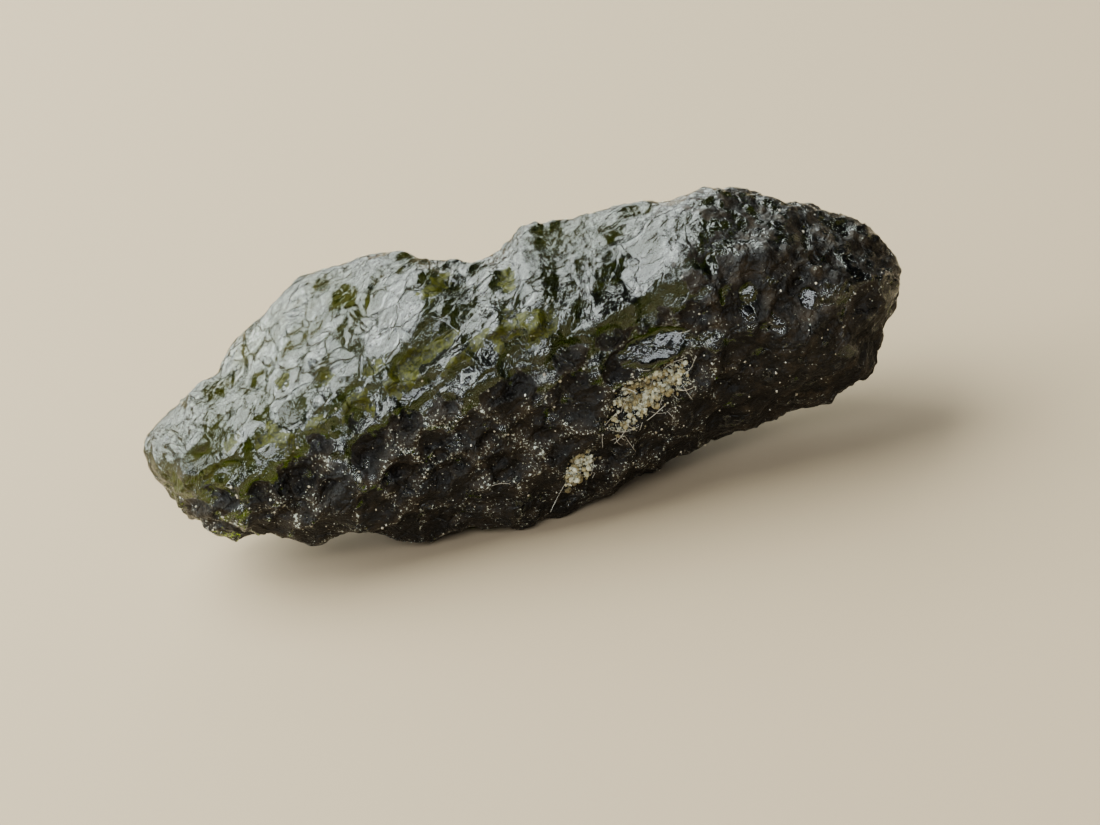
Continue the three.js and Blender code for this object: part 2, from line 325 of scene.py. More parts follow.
def shaken(points):
    """The points, each moved a little, so that the cups' outlines waver."""
    sway = np.stack([wander(points, 0.9, seed) for seed in (1, 2, 3)], axis=1)
    shiver = np.stack([wander(points, 2.6, seed) for seed in (4, 5, 6)], axis=1)
    return points + 0.2 * sway + 0.1 * shiver


def surface_zones(points, normals, hollow):
    """Shares from 0 to 1 that say what each place is like. `hollow` is how deep it lies in its large cup."""
    x, y = across_face(points)
    facing, upward = normals @ OUT, normals @ ABOVE
    patchy = wander(points, 0.35, 7)
    # Millimetres above the dark edge, which wanders and comes up in each hollow.
    over = y - np.interp(x, *DARK_EDGE) + 0.7 * patchy + 0.5 * wander(points, 0.9, 8) - 1.3 * (hollow - 0.6)
    front = smooth_step(0.0, 0.4, facing)
    zone = SimpleNamespace()
    zone.lower = smooth_step(0.0, -1.6, over)
    zone.back = smooth_step(0.1, -0.4, facing)
    zone.broken = smooth_step(2.2, 1.0, np.abs(over + 0.4)) * front
    zone.middle = smooth_step(-8.0, -4.0, x)
    zone.blunt = smooth_step(7.5, 11.5, x - 2.0 * zone.back + 1.5 * patchy)
    zone.sheen = smooth_step(0.3, 0.7, upward)
    under = smooth_step(-0.35, -0.8, upward)
    zone.rough = zone.lower * (1.0 - 0.72 * zone.blunt) * (1.0 - 0.65 * under)
    crest = smooth_step(0.5, 0.85, upward) * smooth_step(9.0, 6.0, x)
    tip = smooth_step(-14.0, -16.0, x)
    creased = between(1.6, 5.2, 0.4, x) * between(1.8, 8.0, 0.4, y)
    zone.crinkled = np.clip(creased + 0.6 * crest + 0.7 * tip, 0.0, 1.0)
    zone.cut, zone.scar = scar_cuts(points, normals)
    # The painted shade film leaves the scars, a strip of clear glass, and what stands up near the dark edge.
    strip = np.exp(-((distance_to_line(x, y, CLEAR_STRIP)[0] / 0.45) ** 2)) * (1.0 - zone.back)
    zone.clean = smooth_step(0.6, 0.35, zone.scar) * (1.0 - strip)
    proud = smooth_step(2.4, 0.8, np.abs(over + 1.2)) * smooth_step(0.65, 0.35, hollow) * (1.0 - zone.back)
    zone.covered = 1.0 - 0.75 * proud
    zone.sand, zone.pocket_depth = pocket_share(points, normals, POCKETS)
    frost, zone.frost_depth = pocket_share(points, normals, HOLLOWS)
    band = smooth_step(1.0, 0.3, np.abs(over - 0.2)) * front * smooth_step(4.5, 2.0, x)
    frost += 0.85 * band * smooth_step(0.55, 0.95, hollow)
    zone.frost = np.clip(frost, 0.0, 1.0) * (1.0 - zone.scar)
    return zone


def carved_relief(points, normals, settings):
    """Height of the etched surface over the body, in millimetres, and the shares that the material reads."""
    moved = shaken(points)
    large, large_lead = scallops(
        moved, normals, 2.4, 1.3, settings.large_depth,
        flatness=1.2, tilt=0.05, heading=flow_heading, seed=11, dip=0.05,
    )
    medium, medium_lead = scallops(
        moved, normals, 1.3, 1.35, settings.medium_depth,
        flatness=2.0, tilt=0.04, heading=flow_heading, seed=12, dip=0.12,
    )
    small, _ = scallops(
        moved, normals, 0.55, 1.6, settings.small_depth,
        flatness=1.2, tilt=0.012, heading=crinkle_heading, seed=13,
    )
    gashes, _ = scallops(
        moved, normals, 0.6, 2.6, settings.gash_depth,
        flatness=1.5, tilt=0.012, heading=flow_heading, seed=14, dip=0.12,
    )
    ragged = np.abs(wander(moved, 1.7, 21)) * 0.6 + np.abs(wander(moved, 3.4, 22)) * 0.4
    zone = surface_zones(points, normals, np.clip(-large / settings.large_depth, 0.0, 1.2))
    rough, broken, crinkled, blunt, back = zone.rough, zone.broken, zone.crinkled, zone.blunt, zone.back
    pitted = 0.35 * zone.middle + 0.5 * back - 0.3 * blunt + 1.1 * np.maximum(rough, 1.1 * broken)
    height = large * (0.36 + 0.5 * back + 2.2 * rough)
    height += medium * (0.55 + pitted)
    height += small * (0.3 + 0.8 * rough + 2.6 * crinkled + 1.3 * broken + 0.5 * blunt)
    height += gashes * blunt
    height += ragged * (0.02 + 0.24 * rough + 0.1 * crinkled + 0.05 * blunt)
    height += ledge_relief(points, normals) * (1.0 - zone.scar) - zone.pocket_depth - zone.frost_depth
    height -= height.mean()
    height += zone.scar * (zone.cut - 0.75 * height)
    broad_rim, fine_rim = np.exp(-large_lead / 1.1), np.exp(-medium_lead / 0.3)
    # Painted shade: a dark, dull film over the lower face and the blunt end, thinner where the blunt end
    # faces up, so that its top keeps a sheen.
    painted_shade = np.clip(zone.lower + blunt * (1.0 - 0.4 * zone.sheen), 0.0, 1.0) * zone.clean * zone.covered
    powder = zone.lower * (1.0 - 0.7 * blunt) * (0.2 + 0.8 * broad_rim) + 0.06 * blunt
    shares = {
        "rim": np.maximum(broad_rim, 0.7 * fine_rim),
        "painted_shade": painted_shade * (1.0 - 0.8 * zone.frost),
        "frost": zone.frost,
        "flat": zone.scar,
        "dust": powder * zone.clean,
        "sand": zone.sand,
        "crinkle": np.clip(crinkled + 0.25 * broken, 0.0, 1.0) * (1.0 - 0.8 * zone.scar),
    }
    return height, shares


def stone_mesh(settings):
    """The stone's fine surface, carved over the CAD stone."""
    bm = divided_block(settings.strips, settings.cells)
    drawn_to_stone(bm, settings.favour_front)
    for _ in range(settings.smoothing):
        bmesh.ops.smooth_vert(
            bm, verts=bm.verts, factor=0.5, use_axis_x=True, use_axis_y=True, use_axis_z=True
        )
    bm.normal_update()
    points = np.array([v.co[:] for v in bm.verts])
    normals = np.array([v.normal[:] for v in bm.verts])
    height, shares = carved_relief(points, normals, settings)
    points = points + normals * height[:, None]
    points[:, 2] = np.maximum(points[:, 2], 0.0)
    mesh = bpy.data.meshes.new("etched_stone")
    for vertex, point in zip(bm.verts, points):
        vertex.co = point * MM
    bm.to_mesh(mesh)
    bm.free()
    for name, values in shares.items():
        mesh.attributes.new(name, "FLOAT", "POINT").data.foreach_set("value", values.astype(np.float32))
    mesh.shade_smooth()
    return mesh


# --- Materials ------------------------------------------------------------------------------------


def new_material(name):
    material = bpy.data.materials.new(name)
    material.use_nodes = True
    material.node_tree.nodes.clear()
    return material, material.node_tree


def add_node(tree, kind, **values):
    """Adds a node and sets its named inputs; keys that aren't inputs are the node's own properties."""
    node = tree.nodes.new(kind)
    for key, value in values.items():
        if key in node.inputs:
            node.inputs[key].default_value = value
        else:
            setattr(node, key, value)
    return node


def glass_material(settings):
    material, tree = new_material("moldavite_glass")
    link = tree.links.new
    output = add_node(tree, "ShaderNodeOutputMaterial")
    shader = add_node(tree, "ShaderNodeBsdfPrincipled")
    shader.inputs["IOR"].default_value = settings.ior
    painted_shade, powder, shade = shade_and_dust_on_glass(tree)
    # Where the painted shade, the frost or the dust lies, the glass is rougher, reflects less and lets no
    # light through.
    shade_frost_and_dust = computed(tree, "MAXIMUM", painted_shade, powder)
    link(shade, shader.inputs["Base Color"])
    link(mixed(tree, "FLOAT", shade_frost_and_dust, settings.roughness, 0.5), shader.inputs["Roughness"])
    link(mixed(tree, "FLOAT", shade_frost_and_dust, 0.5, 0.2), shader.inputs["Specular IOR Level"])
    link(mixed(tree, "FLOAT", shade_frost_and_dust, 1.0, 0.0), shader.inputs["Transmission Weight"])
    volume = add_node(tree, "ShaderNodeVolumeAbsorption")
    volume.inputs["Color"].default_value = (*settings.colour, 1.0)
    volume.inputs["Density"].default_value = settings.density
    link(shader.outputs["BSDF"], output.inputs["Surface"])
    link(volume.outputs["Volume"], output.inputs["Volume"])
    link(etched_bump(tree), shader.inputs["Normal"])
    return material


def mixed(tree, kind, share, first, second):
    """Mixes two colours or two numbers by a linked share. Each may be a value or another node's output."""
    node = add_node(tree, "ShaderNodeMix", data_type=kind)
    sockets = [socket for socket in node.inputs if socket.enabled]
    for socket, value in zip(sockets, (share, first, second)):
        if isinstance(value, bpy.types.NodeSocket):
            tree.links.new(value, socket)
        else:
            socket.default_value = value
    return next(socket for socket in node.outputs if socket.enabled)


def ranged(tree, value, low, high):
    """0 below `low`, 1 above `high` and a smooth rise between."""
    node = add_node(tree, "ShaderNodeMapRange", interpolation_type="SMOOTHSTEP")
    tree.links.new(value, node.inputs["Value"])
    node.inputs["From Min"].default_value = low
    node.inputs["From Max"].default_value = high
    return node.outputs["Result"]


def computed(tree, operation, *values):
    """One Math node over numbers or other nodes' outputs."""
    node = add_node(tree, "ShaderNodeMath", operation=operation)
    for socket, value in zip(node.inputs, values):
        if isinstance(value, bpy.types.NodeSocket):
            tree.links.new(value, socket)
        else:
            socket.default_value = value
    return node.outputs["Value"]


def shares_on(tree, *names):
    """The stone's own attributes, as numbers."""
    return [add_node(tree, "ShaderNodeAttribute", attribute_name=name).outputs["Fac"] for name in names]


def noise_on(tree, place, scale, detail, rough):
    node = add_node(tree, "ShaderNodeTexNoise", Scale=scale, Detail=detail, Roughness=rough)
    tree.links.new(place, node.inputs["Vector"])
    return node.outputs["Fac"]


def total(tree, *items):
    """Adds up numbers, each given alone or as a pair to multiply."""
    terms = [computed(tree, "MULTIPLY", *item) if isinstance(item, tuple) else item for item in items]
    whole = terms[0]
    for term in terms[1:]:
        whole = computed(tree, "ADD", whole, term)
    return whole


def shade_and_dust_on_glass(tree):
    """The dark film of painted shade, the pale powder on rims, and the colour of both."""
    place = add_node(tree, "ShaderNodeTexCoord").outputs["Object"]
    shade_share, dusty, rim, sandy, frost = shares_on(tree, "painted_shade", "dust", "rim", "sand", "frost")
    cloud = noise_on(tree, place, 1100.0, 3.0, 0.6)
    painted_shade = ranged(tree, total(tree, cloud, (shade_share, 0.36)), 0.7, 0.78)
    curd = noise_on(tree, place, 2600.0, 4.0, 0.65)
    frosted = ranged(tree, total(tree, curd, (frost, 0.36)), 0.68, 0.76)
    fine = noise_on(tree, place, 7000.0, 3.0, 0.8)
    rims = computed(tree, "MULTIPLY", dusty, total(tree, 0.01, (rim, 0.12)))
    settled = total(tree, fine, rims, (cloud, 0.24), -0.05, (sandy, 0.13))
    grains = ranged(tree, settled, 0.76, 0.81)
    cells = add_node(tree, "ShaderNodeTexVoronoi", Scale=8000.0)
    tree.links.new(place, cells.inputs["Vector"])
    draw = add_node(tree, "ShaderNodeSeparateColor")
    tree.links.new(cells.outputs["Color"], draw.inputs["Color"])
    chosen = computed(tree, "LESS_THAN", draw.outputs["Red"], total(tree, 0.003, (dusty, 0.035)))
    dot = computed(tree, "MULTIPLY", ranged(tree, cells.outputs["Distance"], 0.34, 0.16), chosen)
    powder = computed(tree, "MAXIMUM", dot, grains)
    pale = mixed(tree, "RGBA", draw.outputs["Green"], (0.4, 0.38, 0.27, 1.0), (0.6, 0.65, 0.58, 1.0))
    # Painted shade colour: near black in the pits, a browner dark on the rims.
    rim_lift = computed(tree, "MULTIPLY", rim, ranged(tree, cloud, 0.4, 0.65))
    painted_shade_colour = mixed(tree, "RGBA", rim_lift, (0.002, 0.0015, 0.001, 1.0), (0.03, 0.021, 0.012, 1.0))
    mossy = ranged(tree, total(tree, (fine, 0.6), (curd, 0.4)), 0.38, 0.64)
    skin = mixed(tree, "RGBA", mossy, (0.006, 0.007, 0.001, 1.0), (0.05, 0.05, 0.0, 1.0))
    under = mixed(tree, "RGBA", ranged(tree, frosted, 0.0, 0.3), (0.95, 1.0, 0.85, 1.0), skin)
    under = mixed(tree, "RGBA", ranged(tree, painted_shade, 0.0, 0.15), under, painted_shade_colour)
    # The share that dulls the glass takes in the real frosted hollows as well as the painted shade.
    painted_shade = computed(tree, "MAXIMUM", painted_shade, frosted)
    return painted_shade, powder, mixed(tree, "RGBA", powder, under, pale)


def vector_math(tree, operation, *values):
    """One Vector Math node over vectors or other nodes' outputs."""
    node = add_node(tree, "ShaderNodeVectorMath", operation=operation)
    for socket, value in zip(node.inputs, values):
        if isinstance(value, bpy.types.NodeSocket):
            tree.links.new(value, socket)
        else:
            socket.default_value = value
    return node.outputs["Value" if operation == "DOT_PRODUCT" else "Vector"]


def wavering(tree, place, scale, reach):
    """The place, shifted by up to about `reach` metres by noise."""
    noise_node = add_node(tree, "ShaderNodeTexNoise", Scale=scale, Detail=2.0)
    tree.links.new(place, noise_node.inputs["Vector"])
    centred = vector_math(tree, "SUBTRACT", noise_node.outputs["Color"], (0.5, 0.5, 0.5))
    spread = vector_math(tree, "MULTIPLY", centred, (2 * reach,) * 3)
    return vector_math(tree, "ADD", place, spread)


def facets(tree, place, scale, slope, dip):
    """Height in metres of flat scales: each leans its own way, by up to `slope`, and all lean by `dip`."""
    cells = add_node(tree, "ShaderNodeTexVoronoi", Scale=scale)
    tree.links.new(place, cells.inputs["Vector"])
    away = vector_math(tree, "SUBTRACT", place, cells.outputs["Position"])
    lean = vector_math(tree, "SUBTRACT", cells.outputs["Color"], (0.5, 0.5, 0.5))
    lean = vector_math(tree, "MULTIPLY", lean, (2 * slope,) * 3)
    lean = vector_math(tree, "ADD", lean, tuple(-dip * DIP))
    return vector_math(tree, "DOT_PRODUCT", away, lean)


def bumped(tree, height, distance, under=None):
    node = add_node(tree, "ShaderNodeBump", Strength=1.0, Distance=distance)
    tree.links.new(height, node.inputs["Height"])
    if under:
        tree.links.new(under, node.inputs["Normal"])
    return node.outputs["Normal"]


def outlines(tree, place, scale, width):
    """Thin grooves between cells: 0 in the groove and 1 beyond its width, in cells."""
    edges = add_node(tree, "ShaderNodeTexVoronoi", Scale=scale, feature="DISTANCE_TO_EDGE")
    tree.links.new(place, edges.inputs["Vector"])
    return ranged(tree, edges.outputs["Distance"], 0.0, width)


def along_flow(tree, place, heading, stretch):
    """The place, in the broad face's own axes, drawn out `stretch` times along a heading."""
    flow = math.cos(heading) * ALONG + math.sin(heading) * ABOVE
    turn = Matrix((flow, np.cross(OUT, flow), OUT)).transposed().to_euler()
    stretched = {"Rotation": turn, "Scale": (stretch, 1.0, 1.0)}
    node = add_node(tree, "ShaderNodeMapping", vector_type="TEXTURE", **stretched)
    tree.links.new(place, node.inputs["Vector"])
    return node.outputs["Vector"]


def etched_bump(tree):
    """Scales, streaks and crinkles that are too fine for the mesh."""
    place = add_node(tree, "ShaderNodeTexCoord").outputs["Object"]
    shade_share, crinkle, flat = shares_on(tree, "painted_shade", "crinkle", "flat")
    moved = wavering(tree, wavering(tree, place, 1800.0, 0.16 * MM), 4800.0, 0.07 * MM)
    scales = facets(tree, moved, 900.0, 0.17, 0.05)
    grooves = outlines(tree, along_flow(tree, moved, math.radians(38), 1.4), 950.0, 0.08)
    breaks = ranged(tree, noise_on(tree, place, 900.0, 2.0, 0.5), 0.42, 0.6)
    streaks = noise_on(tree, along_flow(tree, place, math.radians(30), 4.0), 5200.0, 2.0, 0.5)
    ragged = noise_on(tree, place, 2600.0, 4.0, 0.6)
    groove_depth = total(tree, 0.022 * MM, (breaks, 0.06 * MM))
    streak_depth = total(tree, 0.02 * MM, (crinkle, 0.08 * MM))
    ragged_depth = total(tree, 0.022 * MM, (shade_share, 0.25 * MM), (crinkle, 0.08 * MM))
    height = total(tree, scales, (grooves, groove_depth), (streaks, streak_depth), (ragged, ragged_depth))
    return bumped(tree, computed(tree, "MULTIPLY", height, total(tree, 1.0, (flat, -0.58))), 1.0)


def grain_material(name, colours, roughness, bump):
    """Mineral grains: each takes its colour from its own draw, with a fine grain over it."""
    material, tree = new_material(name)
    output = add_node(tree, "ShaderNodeOutputMaterial")
    shader = add_node(tree, "ShaderNodeBsdfPrincipled")
    shader.inputs["Roughness"].default_value = roughness
    place = add_node(tree, "ShaderNodeTexCoord").outputs["Object"]
    ramp = add_node(tree, "ShaderNodeValToRGB")
    tree.links.new(shares_on(tree, "draw")[0], ramp.inputs["Fac"])
    while len(ramp.color_ramp.elements) < len(colours):
        ramp.color_ramp.elements.new(0.5)
    for i, (element, colour) in enumerate(zip(ramp.color_ramp.elements, colours)):
        element.position = i / (len(colours) - 1)
        element.color = (*colour, 1.0)
    cloud = noise_on(tree, place, 9000.0, 3.0, 0.6)
    shaded = mixed(tree, "RGBA", ranged(tree, cloud, 0.3, 0.7), (0.55, 0.5, 0.42, 1.0), (1.0, 1.0, 1.0, 1.0))
    blend = add_node(tree, "ShaderNodeMix", data_type="RGBA", blend_type="MULTIPLY")
    share, first, second = (socket for socket in blend.inputs if socket.enabled)
    share.default_value = 1.0
    tree.links.new(ramp.outputs["Color"], first)
    tree.links.new(shaded, second)
    tree.links.new(next(socket for socket in blend.outputs if socket.enabled), shader.inputs["Base Color"])
    tree.links.new(bumped(tree, cloud, bump), shader.inputs["Normal"])
    tree.links.new(shader.outputs["BSDF"], output.inputs["Surface"])
    return material


def plain_material(name, colour, roughness):
    material, tree = new_material(name)
    output = add_node(tree, "ShaderNodeOutputMaterial")
    shader = add_node(tree, "ShaderNodeBsdfPrincipled")
    shader.inputs["Base Color"].default_value = (*colour, 1.0)
    shader.inputs["Roughness"].default_value = roughness
    tree.links.new(shader.outputs["BSDF"], output.inputs["Surface"])
    return material


# --- Sand, specks and fibres ----------------------------------------------------------------------


def stone_surface(name):
    """The places, normals and one attribute of the etched stone's points, in millimetres."""
    mesh = bpy.data.objects["etched_stone"].data
    count = len(mesh.vertices)
    places, normals, values = np.zeros(count * 3), np.zeros(count * 3), np.zeros(count, dtype=np.float32)
    mesh.vertices.foreach_get("co", places)
    mesh.vertices.foreach_get("normal", normals)
    mesh.attributes[name].data.foreach_get("value", values)
    return places.reshape(-1, 3) / MM, normals.reshape(-1, 3), values.astype(float)


def add_grain(bm, rng, place, size, rounds):
    """One worn grain: a ball of `size` millimetres, squashed, knocked out of round and turned."""
    turn = Matrix.Rotation(rng.uniform(0, 6.28), 4, Vector(rng.normal(0, 1, 3)).normalized())
    squash = Matrix.Diagonal((*rng.uniform(0.7, 1.25, 3), 1.0))
    made = bmesh.ops.create_icosphere(bm, subdivisions=rounds, radius=size / 2, matrix=squash)
    for vertex in made["verts"]:
        vertex.co *= 1.0 + 0.4 * noise.noise(vertex.co / size * 2.6 + Vector(place))
    bmesh.ops.transform(bm, verts=made["verts"], matrix=Matrix.Translation(Vector(place)) @ turn)
    return made["verts"]


def joined_grains(name, grains, rounds, rng):
    """One mesh of many grains, from their places and sizes. A few at a time is quicker."""
    whole = bmesh.new()
    draws = []
    for first in range(0, len(grains), 40):
        part = bmesh.new()
        for place, size in grains[first : first + 40]:
            count = len(add_grain(part, rng, place, size, rounds))
            draws += [rng.uniform()] * count
        mesh = bpy.data.meshes.new("part")
        part.to_mesh(mesh)
        part.free()
        whole.from_mesh(mesh)
        bpy.data.meshes.remove(mesh)
    return finished_bits(whole, name, draws)


def finished_bits(bm, name, draws):
    """A mesh of many bits, with one random number on each bit's points, from 0 to 1."""
    for vertex in bm.verts:
        vertex.co *= MM
    mesh = bpy.data.meshes.new(name)
    bm.to_mesh(mesh)
    bm.free()
    draw = mesh.attributes.new("draw", "FLOAT", "POINT")
    draw.data.foreach_set("value", np.array(draws, dtype=np.float32))
    return mesh


def inside_box(place, reach):
    """The place, kept far enough inside the CAD box and above the floor."""
    low, high = LOW + reach, HIGH - reach
    return np.clip(place, low, high)


def sand_mesh(settings):
    """Grains heaped in the pockets: a bed on the glass, and more grains on the bed."""
    places, normals, share = stone_surface("sand")
    rng = np.random.default_rng(31)
    weight = np.clip(share - 0.1, 0.0, 1.0) * (0.15 + (wander(places, 1.7, 41) > -0.12))
    grains = []
    for layer, count in enumerate((settings.sand_bed, settings.sand_top)):
        power = weight ** (1.0 + 2.0 * layer)
        for i in rng.choice(len(places), count, p=power / power.sum()):
            size = (0.06 + 0.24 * rng.uniform() ** 2.5) * (0.8 + 0.5 * share[i])
            lift = size * rng.uniform(0.05, 0.35) + layer * 0.16 * share[i]
            place = places[i] + normals[i] * lift + rng.normal(0, 0.05, 3)
            grains.append((inside_box(place, size / 2), size))
    return joined_grains("sand_grains", grains, 1, rng)


def speck_mesh(settings):
    """Tiny pale grains that stick to the dusty glass."""
    places, normals, dust = stone_surface("dust")
    share = 0.03 + dust * (places[:, 2] > 0.4)
    rng = np.random.default_rng(32)
    grains = []
    for i in rng.choice(len(places), settings.specks, p=share / share.sum()):
        size = 0.04 + 0.12 * rng.uniform() ** 4
        place = places[i] + normals[i] * size * 0.2
        grains.append((inside_box(place, size / 2), size))
    return joined_grains("pale_specks", grains, 1, rng)


def add_fibre(bm, rng, place, normal, length, width):
    """One hair-thin bent fibre that starts on the glass and lies near it."""
    aside = Vector(rng.normal(0, 1, 3))
    way = (aside - aside.dot(normal) * normal).normalized() + 0.35 * normal
    bend = Vector(rng.normal(0, 0.22, 3))
    turn = way.to_track_quat("Z", "Y").to_matrix().to_4x4()
    matrix = Matrix.Translation(place) @ turn
    ring = bmesh.ops.create_circle(bm, cap_ends=True, segments=4, radius=width / 2, matrix=matrix)["verts"]
    count = len(ring)
    edges = list(dict.fromkeys(edge for vertex in ring for edge in vertex.link_edges))
    steps = 9
    for _ in range(steps):
        made = bmesh.ops.extrude_edge_only(bm, edges=edges)["geom"]
        edges = [item for item in made if isinstance(item, bmesh.types.BMEdge) and item.is_boundary]
        tip = [item for item in made if isinstance(item, bmesh.types.BMVert)]
        bmesh.ops.translate(bm, verts=tip, vec=way * (length / steps))
        way = (way + bend * 0.5 - 0.06 * normal).normalized()
        count += len(tip)
    bmesh.ops.holes_fill(bm, edges=edges, sides=4)
    return count


def fibre_mesh(settings):
    """Fine pale fibres, most of them caught round the pockets."""
    places, normals, sand = stone_surface("sand")
    dust = stone_surface("dust")[2]
    share = (sand > 0.05) * 2.0 + (dust > 0.6) * (places[:, 2] > 1.5) * 0.08 * (normals @ OUT > 0)
    rng = np.random.default_rng(33)
    bm = bmesh.new()
    draws = []
    for i in rng.choice(len(places), settings.fibres, p=share / share.sum()):
        place, normal = Vector(inside_box(places[i] + normals[i] * 0.03, 0.9)), Vector(normals[i])
        count = add_fibre(bm, rng, place, normal, rng.uniform(0.5, 1.6), rng.uniform(0.018, 0.032))
        draws += [rng.uniform()] * count
    bmesh.ops.recalc_face_normals(bm, faces=bm.faces)
    return finished_bits(bm, "fine_fibres", draws)


# --- Settings -------------------------------------------------------------------------------------


class StoneSettings(bpy.types.PropertyGroup):
    strips: IntProperty(name="Strips", description="Faces along the stone", default=340, min=8)
    cells: IntProperty(name="Cells", description="Faces across each side of the stone", default=62, min=4)
    favour_front: FloatProperty(
        name="Favour front",
        description="How much finer the broad face is than the back",
        default=0.4,
        min=0,
        max=0.6,
    )
    smoothing: IntProperty(name="Smoothing", description="Passes that soften the facets", default=14, min=0)
    large_depth: FloatProperty(name="Large cups", description="Their depth, in mm", default=0.2)
    medium_depth: FloatProperty(name="Medium cups", description="Their depth, in mm", default=0.13)
    small_depth: FloatProperty(name="Small cups", description="Their depth, in mm", default=0.028)
    gash_depth: FloatProperty(name="Gashes", description="Depth at the blunt end, in mm", default=0.084)
    ior: FloatProperty(name="IOR", description="Index of refraction of the glass", default=1.49)
    roughness: FloatProperty(name="Roughness", description="Roughness of the etched glass", default=0.14)
    colour: FloatVectorProperty(
        name="Absorption colour",
        description="What the glass lets through",
        subtype="COLOR",
        size=3,
        min=0,
        max=1,
        default=(0.66, 0.7, 0.02),
    )
    density: FloatProperty(name="Absorption density", description="For each metre of glass", default=1000.0)


class DirtSettings(bpy.types.PropertyGroup):
    sand_bed: IntProperty(name="Sand bed", description="Grains on the pockets' glass", default=800, min=1)
    sand_top: IntProperty(name="Sand top", description="Grains that lie on the bed", default=300, min=1)
    specks: IntProperty(name="Specks", description="Tiny grains on the dusty glass", default=600, min=1)
    fibres: IntProperty(name="Fibres", description="Hair-thin fibres", default=46, min=1)


class StageSettings(bpy.types.PropertyGroup):
    elevation: FloatProperty(
        name="Elevation", description="Camera height", subtype="ANGLE", default=math.radians(25)
    )
    roll: FloatProperty(name="Roll", description="Camera roll", subtype="ANGLE", default=math.radians(12.4))
    lens: FloatProperty(name="Lens", description="Focal length in mm", default=150.0)
    picture_width: FloatProperty(
        name="Picture width", description="Width seen at the stone", unit="LENGTH", default=55.88 * MM
    )
    picture_offset: FloatVectorProperty(
        name="Picture offset",
        description="Picture's centre, right of and above the stone's own centre",
        unit="LENGTH",
        size=2,
        default=(1.41 * MM, -2.39 * MM),
    )
    floor_colour: FloatVectorProperty(
        name="Floor colour",
        description="Pale floor",
        subtype="COLOR",
        size=3,
        min=0,
        max=1,
        default=(0.32, 0.24, 0.15),
    )
    sky_colour: FloatVectorProperty(
        name="Sky colour",
        description="Soft light",
        subtype="COLOR",
        size=3,
        min=0,
        max=1,
        default=(0.92, 1.0, 0.95),
    )


# --- Operators ------------------------------------------------------------------------------------


def show_piece(context, name, mesh, material):
    mesh.materials.append(material)
    piece = bpy.data.objects.new(name, mesh)
    context.scene.collection.objects.link(piece)
    return piece


class MOLDAVITE_OT_stone(bpy.types.Operator):
    """Carve the etched glass stone over its solid"""

    bl_idname = "moldavite.stone"
    bl_label = "Etched Stone"

    def execute(self, context):
        settings = context.scene.moldavite_stone
        stone = show_piece(context, "etched_stone", stone_mesh(settings), glass_material(settings))
        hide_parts(STONE)
        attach(stone, "root")
        return {"FINISHED"}


def add_dirt(context, name, mesh, material):
    piece = show_piece(context, name, mesh, material)
    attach(piece, "root")
    return {"FINISHED"}


class MOLDAVITE_OT_sand(bpy.types.Operator):
    """Heap sand grains in the stone's two pockets"""

    bl_idname = "moldavite.sand"
    bl_label = "Pocket Sand"

    def execute(self, context):
        colours = (
            (0.09, 0.07, 0.03),
            (0.26, 0.21, 0.09),
            (0.42, 0.37, 0.2),
            (0.68, 0.68, 0.52),
            (0.17, 0.17, 0.12),
        )
        material = grain_material("sand", colours, 0.55, 0.01 * MM)
        return add_dirt(context, "pocket_sand", sand_mesh(context.scene.moldavite_dirt), material)


class MOLDAVITE_OT_specks(bpy.types.Operator):
    """Scatter tiny pale grains over the dusty glass"""

    bl_idname = "moldavite.specks"
    bl_label = "Pale Specks"

    def execute(self, context):
        colours = ((0.45, 0.38, 0.26), (0.66, 0.62, 0.5), (0.8, 0.8, 0.74))
        material = grain_material("speck", colours, 0.6, 0.004 * MM)
        return add_dirt(context, "pale_specks", speck_mesh(context.scene.moldavite_dirt), material)


class MOLDAVITE_OT_fibres(bpy.types.Operator):
    """Lay fine pale fibres round the pockets"""

    bl_idname = "moldavite.fibres"
    bl_label = "Fine Fibres"

    def execute(self, context):
        colours = ((0.5, 0.46, 0.38), (0.75, 0.73, 0.66))
        material = grain_material("fibre", colours, 0.5, 0.001 * MM)
        return add_dirt(context, "fine_fibres", fibre_mesh(context.scene.moldavite_dirt), material)


def add_softbox(context, name, direction, distance, size, power, colour):
    """A rectangular lamp that faces the stone from a direction."""
    lamp = bpy.data.lights.new(name, "AREA")
    lamp.shape = "RECTANGLE"
    lamp.size, lamp.size_y = size
    lamp.energy = power
    lamp.color = colour
    holder = bpy.data.objects.new(name, lamp)
    context.scene.collection.objects.link(holder)
    way = Vector(direction).normalized()
    holder.location = Vector(CENTRE) * MM + way * distance
    holder.rotation_mode = "QUATERNION"
    holder.rotation_quaternion = way.to_track_quat("Z", "Y")
    return holder


def add_camera(context, settings):
    """A camera that looks at the broad face from above, rolled so that the stone climbs to the right."""
    rise = Vector((0, math.sin(settings.elevation), math.cos(settings.elevation)))
    ahead = Vector((0, math.cos(settings.elevation), -math.sin(settings.elevation)))
    turn = Matrix.Rotation(settings.roll, 3, ahead)
    right, up = turn @ Vector((1, 0, 0)), turn @ rise
    data = bpy.data.cameras.new("camera")
    data.lens = settings.lens
    data.clip_start, data.clip_end = 0.001, 10
    distance = settings.picture_width * data.lens / data.sensor_width
    camera = bpy.data.objects.new("camera", data)
    context.scene.collection.objects.link(camera)
    target = Vector(CENTRE) * MM + right * settings.picture_offset[0] + up * settings.picture_offset[1]
    camera.matrix_world = Matrix((right, up, -ahead)).transposed().to_4x4()
    camera.location = target - ahead * distance
    context.scene.camera = camera


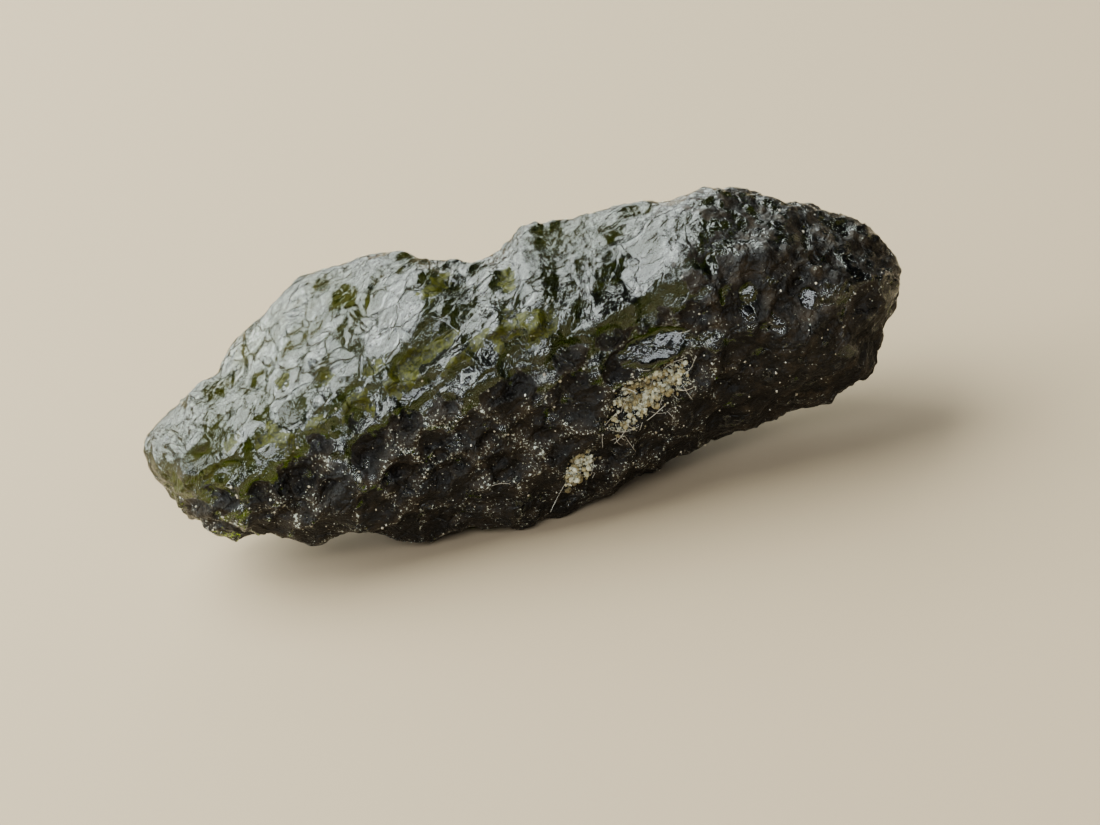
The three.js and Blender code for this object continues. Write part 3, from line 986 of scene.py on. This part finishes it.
class MOLDAVITE_OT_stage(bpy.types.Operator):
    """Lay a pale floor under soft light and set the camera"""

    bl_idname = "moldavite.stage"
    bl_label = "Stage"

    def execute(self, context):
        settings = context.scene.moldavite_stage
        bm = bmesh.new()
        bmesh.ops.create_grid(bm, x_segments=1, y_segments=1, size=1.0)
        bmesh.ops.translate(bm, verts=bm.verts, vec=(0, 0, -0.01 * MM))
        mesh = bpy.data.meshes.new("floor")
        bm.to_mesh(mesh)
        bm.free()
        floor = show_piece(context, "floor", mesh, plain_material("pale_floor", settings.floor_colour, 0.9))
        add_softbox(context, "sky", (-0.58, 0.2, 0.79), 0.3, (0.38, 0.38), 5.0, settings.sky_colour)
        add_softbox(context, "rear", (-0.35, 0.85, 0.4), 0.35, (0.45, 0.2), 1.6, settings.sky_colour)
        add_softbox(context, "side", (-0.92, -0.15, 0.3), 0.35, (0.25, 0.25), 0.9, (0.85, 0.93, 1.0))
        add_softbox(context, "fill", (-0.08, -0.8, 0.58), 0.4, (0.42, 0.16), 1.8, (0.9, 0.96, 1.0))
        world = bpy.data.worlds.new("studio")
        world.use_nodes = True
        world.node_tree.nodes["Background"].inputs["Color"].default_value = (0.8, 0.86, 0.95, 1.0)
        world.node_tree.nodes["Background"].inputs["Strength"].default_value = 0.06
        context.scene.world = world
        add_camera(context, settings)
        return {"FINISHED"}


class MOLDAVITE_PT_panel(bpy.types.Panel):
    bl_idname = "MOLDAVITE_PT_panel"
    bl_label = "Moldavite"
    bl_space_type = "VIEW_3D"
    bl_region_type = "UI"
    bl_category = "Moldavite"

    def draw(self, context):
        for group in (getattr(context.scene, name) for name in SETTINGS):
            for name in group.bl_rna.properties.keys():
                if name not in ("rna_type", "name"):
                    self.layout.prop(group, name)
        for operator in PIECES:
            self.layout.operator(operator.bl_idname)


SETTINGS = {
    "moldavite_stone": StoneSettings,
    "moldavite_dirt": DirtSettings,
    "moldavite_stage": StageSettings,
}
PIECES = (
    MOLDAVITE_OT_stone,
    MOLDAVITE_OT_sand,
    MOLDAVITE_OT_specks,
    MOLDAVITE_OT_fibres,
    MOLDAVITE_OT_stage,
)
CLASSES = (*SETTINGS.values(), *PIECES, MOLDAVITE_PT_panel)


def register():
    for cls in CLASSES:
        bpy.utils.register_class(cls)
    for name, cls in SETTINGS.items():
        setattr(bpy.types.Scene, name, PointerProperty(type=cls))


def unregister():
    for name in SETTINGS:
        delattr(bpy.types.Scene, name)
    for cls in reversed(CLASSES):
        bpy.utils.unregister_class(cls)


def main():
    register()
    bpy.ops.moldavite.stone()
    bpy.ops.moldavite.sand()
    bpy.ops.moldavite.specks()
    bpy.ops.moldavite.fibres()
    bpy.ops.moldavite.stage()


if __name__ == "__main__":
    main()
